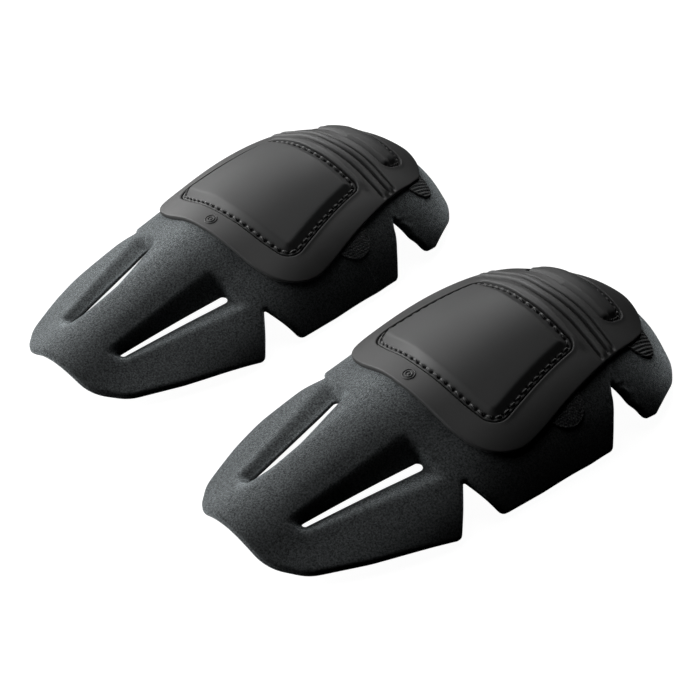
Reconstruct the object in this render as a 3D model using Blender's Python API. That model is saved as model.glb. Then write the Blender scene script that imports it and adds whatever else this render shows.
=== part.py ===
"""A pair of knee guards: moulded foam pads, each with a flexible moulded cap over the knee.

Each guard is laid out on its own curved surface. Its address is (u, v, lift): v runs along the
ridge from the shin end to the thigh end, u runs across it, and lift is the height above the
foam's outer face. The wearer's left guard lies at +X and the right guard at -X, caps up, shin
ends towards -Y. Lengths below are in millimetres and angles in degrees.
"""
import math

import bmesh
import bpy
import numpy as np
from mathutils import Matrix, Vector

MM = 0.001

# Ridge: pitch along v, and where it starts. Cross-sections: tilt of the surface along u.
RIDGE_PITCH = [(-20, 12), (0, 12), (50, 12), (94, 8.5), (132, 8.5), (165, -1), (193, -13),
               (215, -29), (237, -46), (259, -60), (275, -66)]
RIDGE_START_Y = -114.7
RIDGE_START_Z = 22.32
SHIN_TILT = [(0, 0), (22, 27), (44, 22), (64, 34), (79, 64), (99, 72), (140, 80)]
KNEE_TILT = [(0, 0), (22, 20), (44, 24), (64, 44), (79, 66), (99, 76), (140, 82)]
SHIN_SECTION_ENDS = 66
KNEE_SECTION_STARTS = 121
TABLE_STEP = 0.5

# Outline of the whole foam pad, right half, as (u, v, corner radius).
FOAM_CORNERS = [(0, -6.8, 0), (29, -7.2, 14), (45, 4.5, 12), (59.5, 29.5, 80), (79.2, 70.3, 3),
                (56.5, 89, 1.2), (83.2, 95.8, 4), (87.3, 118, 80), (91, 150, 80), (91, 170.2, 4),
                (58.8, 185.6, 1.2), (73.5, 194.2, 10), (82.5, 210, 14), (80.3, 222.5, 6),
                (62, 245.5, 14), (46, 255.5, 25), (28, 261, 30), (0, 261.5, 0)]
SHIN_CORNER = 4
SHIN_NOTCH = 5
KNEE_FRONT_CORNER = 6
KNEE_REAR_CORNER = 9
THIGH_NOTCH = 10
SHIN_FRONT_HALF_WIDTH = 45.0
SHIN_FRONT_REACH = (-20, 8)
SHIN_SIDE_REACH = (6.0, 69.5)
KNEE_SIDE_REACH = (98.0, 167.5)
WING_FRONT_REACH = (185.6, 212)
WING_REAR_REACH = (214, 262)
WING_HALF_WIDTH = 81.3
FOAM_THICKNESS = 8.5
FOAM_EDGE_THICKNESS = 4.2
FOAM_EDGE_DROP = 1.0
FOAM_EDGE_FADE = 11.0

# Where the pad bends: a flex band lies between these v stations, as wide as the notch tips.
SHIN_BAND = (86.6, 91.6)
THIGH_BAND = (182.0, 190.0)
SHIN_HINGE_AT = (56.5, 89.0)
THIGH_HINGE_AT = (58.8, 186.0)
SHIN_BAND_HALF_WIDTH = 55.8
THIGH_BAND_HALF_WIDTH = 58.2
SEAM = 0.45

# Vent slots in the shin section, each at the bottom of a wedge-shaped recess.
SLOT_START = (23.0, 19.5)
SLOT_END = (36.8, 80.5)
SLOT_HALF_WIDTHS = (2.2, 3.0)
SLOT_TIP_SHARE = 0.35
SLOT_ROWS = (0.285, 0.955)
SLOT_COLUMNS = (4, 11)
RECESS_HALF_WIDTHS = (3.5, 20.0)
RECESS_DEPTH = 6.2
RECESS_START_V = 11.0
RECESS_END_V = 83.0
RECESS_END_WALL = 4.0

# Cap: outlines as (u, v, corner radius) for the right half.
CAP_FRAME_CORNERS = [(0, 99, 0), (38, 100.2, 60), (64.8, 106.5, 22), (62, 133, 150),
                     (54.2, 169.7, 200), (51, 183.5, 1), (0, 183.5, 0)]
CAP_THIGH_CORNERS = [(0, 197.6, 0), (47.8, 197.6, 1), (43.9, 213.5, 60), (37.4, 227.4, 16),
                     (24, 237.2, 30), (0, 243.4, 0)]
WINDOW_CORNERS = [(0, 111.1, 150), (30, 112.6, 120), (49.6, 115.4, 9), (43.6, 146, 200),
                  (37.3, 179.2, 7), (0, 177.3, 0)]
THIGH_WINDOW_CORNERS = [(0, 199.4, 0), (31.8, 203.4, 6), (28.2, 221.3, 8), (0, 219, 0)]
WINDOW_CENTRE = (0.0, 146.0)
WINDOW_SIDES = 36
THIGH_CENTRE = (0.0, 210.5)
THIGH_WINDOW_SIDES = 28
CAP_GAP = 0.5
CAP_EDGE_TOP = 1.5
CAP_FLANGE_TOP = 2.5
CAP_LIP_TOP = 3.7
THIGH_LIP_TOP = 3.1
CAP_RIBS = (184.0, 197.1)
RIB_COUNT = 3
RIB_VALLEY_TOP = 1.5
RIB_CREST_TOP = 3.2
CAP_RIBS_HALF_WIDTHS = (50.6, 47.7)
RIB_FADE = 6.0

# Panels set into the cap's windows, their thread and the shock pad behind the knee panel.
PANEL_CLEARANCE = 0.6
PANEL_FLANGE_TOP = 1.7
PANEL_BEVEL_TOP = 4.8
PANEL_CROWN_TOP = 5.6
PANEL_WALL = 2.0
BEVEL_INSETS = (3.4, 6.6)
THIGH_BEVEL_INSETS = (2.5, 4.0)
THIGH_BEVEL_TOP = 3.7
THIGH_CROWN_RISE = 0.5
THREAD_INSETS = (1.5, 2.7)
THIGH_THREAD_INSETS = (1.0, 1.9)
THREAD_LIFTS = (2.05, 2.65)
SHOCK_PAD_INSET = 8.0
SHOCK_PAD_TOP = 1.9

# Small round pieces.
ROUND_SIDES = 16
PLUG_AT = (0.0, 104.6)
PLUG_RADIUS = 3.0
PLUG_LIFTS = (3.65, 4.5)
PLUG_CHAMFER = 0.3
# Hook patches: middle of the face, and the whole disc as (u, v, radius) before the cap's edge.
SIDE_PATCH_AT = (63.8, 151.8)
UPPER_PATCH_AT = (45.0, 224.0)
SIDE_PATCH_DISC = (57.6, 151.4, 11.9)
UPPER_PATCH_DISC = (38.0, 221.6, 13.2)
PATCH_SIDES = 28
PATCH_CLEARANCE = 0.6
PATCH_LIFTS = (0.4, 1.6)

# The pair lies side by side: place of each guard's own origin, and its turn about +Z.
GUARD_PLACES = {"left": (90.09, -6.14, 0.0), "right": (-86.01, 0.76, 4.9)}
SMOOTH_ANGLE = 35

MATERIALS = {
    "shin_foam": ((0.012, 0.0135, 0.0145), 0.95),
    "knee_foam": ((0.012, 0.0135, 0.0145), 0.95),
    "thigh_foam": ((0.012, 0.0135, 0.0145), 0.95),
    "shin_flex_band": ((0.010, 0.0115, 0.0125), 0.95),
    "thigh_flex_band": ((0.010, 0.0115, 0.0125), 0.95),
    "cap_frame": ((0.022, 0.022, 0.022), 0.55),
    "cap_ribs": ((0.020, 0.020, 0.020), 0.55),
    "cap_thigh": ((0.022, 0.022, 0.022), 0.55),
    "knee_panel": ((0.019, 0.020, 0.020), 0.6),
    "thigh_panel": ((0.019, 0.020, 0.020), 0.6),
    "shock_pad": ((0.035, 0.035, 0.038), 0.8),
    "knee_stitching": ((0.006, 0.006, 0.006), 0.7),
    "thigh_stitching": ((0.006, 0.006, 0.006), 0.7),
    "cap_plug": ((0.015, 0.015, 0.015), 0.4),
    "side_patch": ((0.008, 0.009, 0.010), 0.9),
    "upper_patch": ((0.008, 0.009, 0.010), 0.9),
}


# ---- the curved surface -------------------------------------------------------------------

def smooth_value(knots, x):
    """Value at x of the smooth curve through (x, value) knots."""
    xs = [k[0] for k in knots]
    ys = [k[1] for k in knots]
    slopes = []
    for i in range(len(knots)):
        a = max(i - 1, 0)
        b = min(i + 1, len(knots) - 1)
        slopes.append((ys[b] - ys[a]) / (xs[b] - xs[a]))
    x = min(max(x, xs[0]), xs[-1])
    i = min(max(int(np.searchsorted(xs, x)) - 1, 0), len(knots) - 2)
    span = xs[i + 1] - xs[i]
    t = (x - xs[i]) / span
    rise = ys[i + 1] - ys[i]
    return (ys[i] + rise * t * t * (3 - 2 * t)
            + span * t * (1 - t) * (slopes[i] * (1 - t) - slopes[i + 1] * t))


def smooth_step(x):
    t = min(max(x, 0.0), 1.0)
    return t * t * (3 - 2 * t)


def running_sum(values):
    steps = (values[1:] + values[:-1]) / 2 * TABLE_STEP
    return np.concatenate([[0.0], np.cumsum(steps)])


RIDGE_V = np.arange(RIDGE_PITCH[0][0], RIDGE_PITCH[-1][0], TABLE_STEP)
RIDGE_ANGLE = np.radians([smooth_value(RIDGE_PITCH, v) for v in RIDGE_V])
RIDGE_Y = running_sum(np.cos(RIDGE_ANGLE))
RIDGE_Z = running_sum(np.sin(RIDGE_ANGLE))
RIDGE_Y += RIDGE_START_Y - np.interp(0, RIDGE_V, RIDGE_Y)
RIDGE_Z += RIDGE_START_Z - np.interp(0, RIDGE_V, RIDGE_Z)
SECTION_U = np.arange(0, SHIN_TILT[-1][0], TABLE_STEP)


def section_table(tilt):
    """Angle, sideways place and drop of a cross-section along u."""
    angle = np.radians([smooth_value(tilt, u) for u in SECTION_U])
    return angle, running_sum(np.cos(angle)), -running_sum(np.sin(angle))


SHIN_TABLE = section_table(SHIN_TILT)
KNEE_TABLE = section_table(KNEE_TILT)


def place(u, v, lift=0.0):
    """Point in a guard's own frame, in millimetres."""
    blend = smooth_step((v - SHIN_SECTION_ENDS) / (KNEE_SECTION_STARTS - SHIN_SECTION_ENDS))
    angle, out, drop = [(1 - blend) * np.interp(abs(u), SECTION_U, a)
                        + blend * np.interp(abs(u), SECTION_U, b)
                        for a, b in zip(SHIN_TABLE, KNEE_TABLE)]
    pitch = np.interp(v, RIDGE_V, RIDGE_ANGLE)
    up = Vector((0, -math.sin(pitch), math.cos(pitch)))
    across = Vector((math.copysign(1, u), 0, 0))
    ridge = Vector((0, np.interp(v, RIDGE_V, RIDGE_Y), np.interp(v, RIDGE_V, RIDGE_Z)))
    normal = across * math.sin(angle) + up * math.cos(angle)
    return ridge + across * out + up * drop + normal * lift


# ---- outlines in (u, v) -------------------------------------------------------------------

def whole(corners):
    """Full set of corners from the right half's, which runs from one axis point to the other."""
    left = [(-u, v, r) for u, v, r in corners if u > 0]
    return list(corners) + left[::-1]


def rounded(corners, steps=6):
    """Polyline around a polygon whose corners are arcs."""
    points = []
    count = len(corners)
    for i, (u, v, radius) in enumerate(corners):
        here = Vector((u, v))
        before = (Vector(corners[i - 1][:2]) - here).normalized()
        after = (Vector(corners[(i + 1) % count][:2]) - here).normalized()
        half = before.angle(after) / 2
        if radius == 0 or half > math.radians(89.5):
            points.append(here)
            continue
        reach = radius / math.tan(half)
        centre = here + (before + after).normalized() * radius / math.sin(half)
        start = here + before * reach - centre
        turn = math.pi - 2 * half
        side = 1 if before.x * after.y - before.y * after.x < 0 else -1
        for k in range(steps + 1):
            points.append(centre + Matrix.Rotation(side * turn * k / steps, 2) @ start)
    return points


def inset(corners, distance):
    """The same polygon with every edge moved inwards."""
    moved = []
    count = len(corners)
    for i, (u, v, radius) in enumerate(corners):
        here = Vector((u, v))
        d1 = (here - Vector(corners[i - 1][:2])).normalized()
        d2 = (Vector(corners[(i + 1) % count][:2]) - here).normalized()
        n1 = Vector((-d1.y, d1.x))
        n2 = Vector((-d2.y, d2.x))
        corner = here + (n1 + n2) * distance / (1 + n1.dot(n2))
        moved.append((corner.x, corner.y, max(radius - distance, 1.0) if radius else 0))
    return moved


def loop_points(corners, centre, count):
    """Points of a rounded outline at equal angles around a centre."""
    points = rounded(corners)
    angles = []
    radii = []
    for i in range(len(points)):
        a = points[i]
        b = points[(i + 1) % len(points)]
        for k in range(12):
            p = a.lerp(b, k / 12) - Vector(centre)
            angles.append(math.atan2(p.y, p.x))
            radii.append(p.length)
    order = np.argsort(angles)
    angles = np.array(angles)[order]
    radii = np.array(radii)[order]
    wanted = [-math.pi + 2 * math.pi * k / count for k in range(count)]
    reach = np.interp(wanted, angles, radii, period=2 * math.pi)
    return [(centre[0] + r * math.cos(a), centre[1] + r * math.sin(a))
            for a, r in zip(wanted, reach)]


FOAM_OUTLINE = rounded(whole(FOAM_CORNERS), 3)


def edge_distance(u, v):
    """Distance from the foam pad's outline, for a point on the pad."""
    here = Vector((u, v))
    nearest = 1e9
    for i in range(len(FOAM_OUTLINE)):
        a = FOAM_OUTLINE[i - 1]
        along = FOAM_OUTLINE[i] - a
        t = min(max((here - a).dot(along) / along.length_squared, 0), 1)
        nearest = min(nearest, (here - a - along * t).length)
    return nearest


# ---- foam thickness and recesses ----------------------------------------------------------

def slot_place(v):
    """Middle of the slot at v, and how far along the slot that is."""
    t = (v - SLOT_START[1]) / (SLOT_END[1] - SLOT_START[1])
    return SLOT_START[0] + t * (SLOT_END[0] - SLOT_START[0]), t


def recess(u, v):
    """Depth of the wedge-shaped recess around a slot."""
    middle, t = slot_place(v)
    slot = SLOT_HALF_WIDTHS[0] + min(max(t, 0), 1) * (SLOT_HALF_WIDTHS[1] - SLOT_HALF_WIDTHS[0])
    t = (v - RECESS_START_V) / (RECESS_END_V - RECESS_START_V)
    if not 0 < t < 1:
        return 0.0
    reach = RECESS_HALF_WIDTHS[0] + t * (RECESS_HALF_WIDTHS[1] - RECESS_HALF_WIDTHS[0])
    side = 1 - max(abs(abs(u) - middle) - slot, 0) / (reach - slot)
    start_wall = (v - RECESS_START_V) / (SLOT_START[1] - RECESS_START_V)
    end_wall = (RECESS_END_V - v) / RECESS_END_WALL
    return RECESS_DEPTH * max(min(side, start_wall, end_wall, 1.0), 0.0)


def foam_top(u, v):
    edge = smooth_step(edge_distance(u, v) / 4)
    return -recess(u, v) - FOAM_EDGE_DROP * (1 - edge)


def foam_bottom(u, v):
    edge = smooth_step(edge_distance(u, v) / FOAM_EDGE_FADE)
    return -FOAM_EDGE_DROP - FOAM_EDGE_THICKNESS - edge * (
        FOAM_THICKNESS - FOAM_EDGE_THICKNESS - FOAM_EDGE_DROP)


# ---- solids -------------------------------------------------------------------------------

def mesh_from(name, points, faces):
    mesh = bpy.data.meshes.new(name)
    bm = bmesh.new()
    verts = [bm.verts.new(p * MM) for p in points]
    for face in faces:
        bm.faces.new([verts[i] for i in face])
    bmesh.ops.recalc_face_normals(bm, faces=bm.faces)
    bm.to_mesh(mesh)
    bm.free()
    return mesh


def slab(name, rows, top, bottom, is_open=None):
    """Closed solid over a grid of (u, v) points between two lift functions.

    is_open(i, j) leaves out the cell between rows i, i + 1 and columns j, j + 1.
    """
    index = {}
    points = []

    def corner(i, j, side):
        key = (i, j, side)
        if key not in index:
            u, v = rows[i][j]
            lift = top(u, v) if side else bottom(u, v)
            index[key] = len(points)
            points.append(place(u, v, lift))
        return index[key]

    cells = [(i, j) for i in range(len(rows) - 1) for j in range(len(rows[0]) - 1)
             if not (is_open and is_open(i, j))]
    faces = []
    edges = {}
    for i, j in cells:
        ring = [(i, j), (i, j + 1), (i + 1, j + 1), (i + 1, j)]
        faces.append([corner(a, b, 1) for a, b in ring])
        faces.append([corner(a, b, 0) for a, b in reversed(ring)])
        for a, b in zip(ring, ring[1:] + ring[:1]):
            if (b, a) in edges:
                del edges[(b, a)]
            else:
                edges[(a, b)] = True
    for a, b in edges:
        faces.append([corner(*a, 0), corner(*b, 0), corner(*b, 1), corner(*a, 1)])
    return mesh_from(name, points, faces)


def ring_solid(name, loops, tops, bottoms, closed):
    """Closed solid from nested loops of (u, v), outermost first, with a lift pair for each.

    With closed, the innermost loop is filled on both sides; otherwise it bounds an opening.
    """
    count = len(loops[0])
    points = []
    for lifts in (tops, bottoms):
        for loop, lift in zip(loops, lifts):
            points += [place(u, v, lift) for u, v in loop]
    below = count * len(loops)
    faces = []
    for k in range(count):
        n = (k + 1) % count
        for ring in range(len(loops) - 1):
            a = ring * count
            b = a + count
            faces.append([a + k, a + n, b + n, b + k])
            faces.append([below + b + k, below + b + n, below + a + n, below + a + k])
        faces.append([k, below + k, below + n, n])
        last = below - count
        if not closed:
            faces.append([last + n, below + last + n, below + last + k, last + k])
    if closed:
        u = sum(p[0] for p in loops[-1]) / count
        v = sum(p[1] for p in loops[-1]) / count
        for lift, base in ((tops[-1], below - count), (bottoms[-1], 2 * below - count)):
            points.append(place(u, v, lift))
            middle = len(points) - 1
            faces += [[base + k, base + (k + 1) % count, middle] for k in range(count)]
    return mesh_from(name, points, faces)


def between(loop_a, loop_b, fraction):
    return [(a[0] + (b[0] - a[0]) * fraction, a[1] + (b[1] - a[1]) * fraction)
            for a, b in zip(loop_a, loop_b)]


def stations(start, end, step):
    count = max(1, math.ceil((end - start) / step))
    return [start + (end - start) * k / count for k in range(count + 1)]


def mirrored(half):
    """Full row of column places from the right half's, which starts at 0."""
    return [-u for u in half[:0:-1]] + half


def outline_value(u, low, high):
    """v of the foam outline at u, between two of its stations."""
    points = sorted((p.x, p.y) for p in FOAM_OUTLINE if p.x >= 0 and low <= p.y <= high)
    return float(np.interp(abs(u), [p[0] for p in points], [p[1] for p in points]))


def outline_reach(v, low, high):
    """u of the foam outline at v, between two of its stations."""
    points = sorted((p.y, p.x) for p in FOAM_OUTLINE if p.x >= 0 and low <= p.y <= high)
    return float(np.interp(v, [p[0] for p in points], [p[1] for p in points]))


def side_reach(t, ends):
    """Half width of a section at share t of the way along its side."""
    return outline_reach(ends[0] + (ends[1] - ends[0]) * t, ends[0] - 1, ends[1] + 1)


def edge_place(first, v):
    """u at which the pad's edge, from one corner to the next, passes v."""
    (u0, v0, _), (u1, v1, _) = FOAM_CORNERS[first:first + 2]
    return u0 + (u1 - u0) * (v - v0) / (v1 - v0)


# ---- foam sections ------------------------------------------------------------------------

def shin_foam():
    """Shin section, with two slots whose edges are grid columns."""
    front_half = SHIN_FRONT_HALF_WIDTH
    rear_half, rear_corner = FOAM_CORNERS[SHIN_CORNER][:2]
    rear_v = SHIN_BAND[0] - SEAM
    notch_half = edge_place(SHIN_CORNER, rear_v)

    def rear(u):
        t = max(abs(u) - notch_half, 0) / (rear_half - notch_half)
        return rear_v - t * (rear_v - rear_corner)

    row_places = [0, 0.05, 0.15, SLOT_ROWS[0], 0.31, 0.44, 0.57, 0.7, 0.82, 0.92, SLOT_ROWS[1],
                  0.985, 1]
    rows = []
    for t in row_places:
        half_width = side_reach(t, SHIN_SIDE_REACH)
        along = (t - SLOT_ROWS[0]) / (SLOT_ROWS[1] - SLOT_ROWS[0])
        along = min(max(along, 0), 1)
        middle = (SLOT_START[0] + (SLOT_END[0] - SLOT_START[0]) * along) / half_width
        at_end = t in SLOT_ROWS
        slot = SLOT_HALF_WIDTHS[0] + (SLOT_HALF_WIDTHS[1] - SLOT_HALF_WIDTHS[0]) * along
        slot *= (SLOT_TIP_SHARE if at_end else 1.0) / half_width
        reach = RECESS_HALF_WIDTHS[0] + (RECESS_HALF_WIDTHS[1] - RECESS_HALF_WIDTHS[0]) * t
        reach /= half_width
        inner = middle - max(reach, 0.09)
        outer = middle + max(reach, 0.09)
        half = [0, inner * 0.55, inner, middle - slot, middle + slot, outer,
                (outer + 0.95) / 2, 0.95, 1]
        row = []
        for s in mirrored(half):
            u = s * half_width
            front = outline_value(s * front_half, *SHIN_FRONT_REACH)
            row.append((u, front + (rear(s * rear_half) - front) * t))
        rows.append(row)
    first = row_places.index(SLOT_ROWS[0])
    last = row_places.index(SLOT_ROWS[1])
    return slab("shin_foam", rows, foam_top, foam_bottom,
                lambda i, j: first <= i < last and j in SLOT_COLUMNS)


def knee_foam():
    """Knee section, with a wing on each side between the two notches."""
    front_half, front_corner = FOAM_CORNERS[KNEE_FRONT_CORNER][:2]
    rear_half, rear_corner = FOAM_CORNERS[KNEE_REAR_CORNER][:2]
    front_v = SHIN_BAND[1] + SEAM
    rear_v = THIGH_BAND[0] - SEAM
    front_root = edge_place(SHIN_NOTCH, front_v)
    rear_root = edge_place(KNEE_REAR_CORNER, rear_v)

    def front(u):
        t = max(abs(u) - front_root, 0) / (front_half - front_root)
        return front_v + t * (front_corner - front_v)

    def rear(u):
        t = max(abs(u) - rear_root, 0) / (rear_half - rear_root)
        return rear_v + t * (rear_corner - rear_v)

    half = [0, 0.15, 0.3, 0.44, 0.58, 0.705, 0.81, 0.9, 0.96, 1]
    row_places = [0, 0.05] + stations(0.17, 0.83, 0.12) + [0.95, 1]
    rows = []
    for t in row_places:
        half_width = side_reach(t, KNEE_SIDE_REACH)
        rows.append([(s * half_width,
                      front(s * front_half) * (1 - t) + rear(s * rear_half) * t)
                     for s in mirrored(half)])
    return slab("knee_foam", rows, foam_top, foam_bottom)


def thigh_foam():
    """Thigh section, with a wing on each side and a rounded end."""
    front_v = THIGH_BAND[1] + SEAM
    root = edge_place(THIGH_NOTCH, front_v)

    def front(u):
        return max(front_v, outline_value(u, *WING_FRONT_REACH))

    half = [0, 13, 26, 39, 51, 60, root, 72, 77, 80, WING_HALF_WIDTH]
    row_places = [0, 0.06] + stations(0.22, 0.78, 0.2) + [0.94, 1]
    rows = []
    for t in row_places:
        rows.append([(u, front(u) * (1 - t) + t * outline_value(u, *WING_REAR_REACH))
                     for u in mirrored(half)])
    return slab("thigh_foam", rows, foam_top, foam_bottom)


def flex_band(name, ends, half_width):
    """Strip of foam that bends between two sections."""
    half = [half_width * k / 6 for k in range(7)]
    rows = [[(u, v) for u in mirrored(half)] for v in stations(*ends, 5)]
    return slab(name, rows, foam_top, foam_bottom)


# ---- cap ----------------------------------------------------------------------------------

def cap_frame():
    """Flange around the knee window, with a raised lip at the window's edge."""
    outer = loop_points(whole(CAP_FRAME_CORNERS), WINDOW_CENTRE, WINDOW_SIDES)
    inner = loop_points(whole(WINDOW_CORNERS), WINDOW_CENTRE, WINDOW_SIDES)
    loops = [between(outer, inner, f) for f in (0, 0.2, 0.8, 1)]
    tops = [CAP_EDGE_TOP, CAP_FLANGE_TOP, CAP_LIP_TOP, CAP_LIP_TOP]
    return ring_solid("cap_frame", loops, tops, [CAP_GAP] * len(loops), False)


def cap_ribs():
    """Corrugated strip of the cap over the thigh bend."""
    start, end = CAP_RIBS
    steps = 2 * RIB_COUNT + 1
    rows = []
    for k in range(steps + 1):
        t = k / steps
        half = CAP_RIBS_HALF_WIDTHS[0] * (1 - t) + CAP_RIBS_HALF_WIDTHS[1] * t
        places = [half * f for f in (0, 0.25, 0.5, 0.75, 1)]
        rows.append([(u, start + (end - start) * t) for u in mirrored(places)])

    def top(u, v):
        t = (v - start) / (end - start)
        half = CAP_RIBS_HALF_WIDTHS[0] * (1 - t) + CAP_RIBS_HALF_WIDTHS[1] * t
        wave = (1 - math.cos(2 * math.pi * (RIB_COUNT + 0.5) * t)) / 2
        fade = smooth_step((half - abs(u)) / RIB_FADE)
        return RIB_VALLEY_TOP + (RIB_CREST_TOP - RIB_VALLEY_TOP) * wave * fade

    return slab("cap_ribs", rows, top, lambda u, v: CAP_GAP)


def cap_thigh():
    """Thigh end of the cap, with its own narrow window."""
    outer = loop_points(whole(CAP_THIGH_CORNERS), THIGH_CENTRE, THIGH_WINDOW_SIDES)
    inner = loop_points(whole(THIGH_WINDOW_CORNERS), THIGH_CENTRE, THIGH_WINDOW_SIDES)
    loops = [between(outer, inner, f) for f in (0, 0.15, 0.5, 0.85, 1)]
    tops = [CAP_EDGE_TOP, CAP_FLANGE_TOP, CAP_FLANGE_TOP, THIGH_LIP_TOP, THIGH_LIP_TOP]
    return ring_solid("cap_thigh", loops, tops, [CAP_GAP] * len(loops), False)


def panel(name, corners, centre, count, insets, bevel_top, crown_top):
    """Raised, bevelled panel with a thin sewing flange around it, hollow behind."""
    outline = whole(corners)
    flange = loop_points(inset(outline, PANEL_CLEARANCE), centre, count)
    foot = loop_points(inset(outline, insets[0]), centre, count)
    bevel = loop_points(inset(outline, insets[1]), centre, count)
    middle = [centre] * count
    loops = [flange, foot, bevel, between(bevel, middle, 0.33), between(bevel, middle, 0.66)]
    rise = crown_top - bevel_top
    tops = [PANEL_FLANGE_TOP, PANEL_FLANGE_TOP, bevel_top, bevel_top + 0.7 * rise, crown_top]
    under = max(bevel_top - PANEL_WALL, CAP_GAP)
    bottoms = [CAP_GAP, CAP_GAP, under, under, under]
    return ring_solid(name, loops, tops, bottoms, True)


def shock_pad():
    """Firm foam pad in the hollow behind the knee panel."""
    outline = loop_points(inset(whole(WINDOW_CORNERS), SHOCK_PAD_INSET), WINDOW_CENTRE,
                          WINDOW_SIDES)
    loops = [between(outline, [WINDOW_CENTRE] * WINDOW_SIDES, f) for f in (0, 0.33, 0.66)]
    return ring_solid("shock_pad", loops, [SHOCK_PAD_TOP] * 3, [CAP_GAP] * 3, True)


def stitching(name, corners, centre, count, insets):
    """Band of thread lying on a panel's sewing flange."""
    outline = whole(corners)
    loops = [loop_points(inset(outline, d), centre, count) for d in insets]
    return ring_solid(name, loops, [THREAD_LIFTS[1]] * 2, [THREAD_LIFTS[0]] * 2, False)


def circle(centre, radius, count):
    """Closed line of (u, v) points around a centre."""
    turns = [math.tau * k / count for k in range(count)]
    return [Vector(centre) + radius * Vector((math.cos(t), math.sin(t))) for t in turns]


def cap_plug():
    """Plain round boss on the front rim."""
    rim = circle(PLUG_AT, PLUG_RADIUS, ROUND_SIDES)
    inner = between(rim, [PLUG_AT] * ROUND_SIDES, 0.25)
    return ring_solid("cap_plug", [rim, inner], [PLUG_LIFTS[1] - PLUG_CHAMFER, PLUG_LIFTS[1]],
                      [PLUG_LIFTS[0]] * 2, True)


def ray_reach(start, way, loop):
    """Distance from a point to a closed line, along a direction."""
    nearest = math.inf
    for i, end in enumerate(loop):
        first = loop[i - 1] - start
        along = end - loop[i - 1]
        turn = way.cross(along)
        if turn == 0:
            continue
        if 0 <= first.cross(way) / turn <= 1 and first.cross(along) / turn > 0:
            nearest = min(nearest, first.cross(along) / turn)
    return nearest


def patch_outline(at, disc, cap_corners):
    """Disc cut along the cap's edge, as points at equal angles around the middle of its face."""
    whole_disc = circle(disc[:2], disc[2], PATCH_SIDES)
    cap_edge = rounded(inset(whole(cap_corners), -PATCH_CLEARANCE))
    middle = Vector(at)
    outline = []
    for way in circle((0, 0), 1, PATCH_SIDES):
        reach = min(ray_reach(middle, way, whole_disc), ray_reach(middle, way, cap_edge))
        outline.append(middle + way * reach)
    return outline


def patch(name, at, outline, side):
    """Hook-fastener patch with a flat face, on a wing beside the cap."""
    count = len(outline)
    centre = place(side * at[0], at[1], PATCH_LIFTS[1])
    normal = (centre - place(side * at[0], at[1], 0)).normalized()
    bottom = [place(side * u, v, PATCH_LIFTS[0]) for u, v in outline]
    top = [p - normal * (p - centre).dot(normal) for p in bottom]
    points = bottom + top + [place(side * at[0], at[1], PATCH_LIFTS[0])]
    faces = [[count + k for k in range(count)]]
    for k in range(count):
        n = (k + 1) % count
        faces.append([k, n, count + n, count + k])
        faces.append([2 * count, n, k])
    return mesh_from(name, points, faces)


# ---- assembly -----------------------------------------------------------------------------

def material(name):
    colour, roughness = MATERIALS[name]
    made = bpy.data.materials.new(name)
    made.use_nodes = True
    shader = made.node_tree.nodes["Principled BSDF"]
    shader.inputs["Base Color"].default_value = (*colour, 1)
    shader.inputs["Roughness"].default_value = roughness
    shader.inputs["Metallic"].default_value = 0
    made.diffuse_color = (*colour, 1)
    return made


def empty(name, location, parent=None):
    made = bpy.data.objects.new(name, None)
    made.location = location
    made.parent = parent
    bpy.context.collection.objects.link(made)
    return made


def node_name(side, name):
    """Node name on one guard: the patch away from the other leg is the outer one."""
    if name[-2:] in ("_a", "_b"):
        outer = (side == "left") == name.endswith("_a")
        name = name[:-2] + ("_outer" if outer else "_inner")
    return side + "_" + name


def hinge_place(at):
    point = place(*at)
    return Vector((0, point.y, point.z)) * MM


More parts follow.
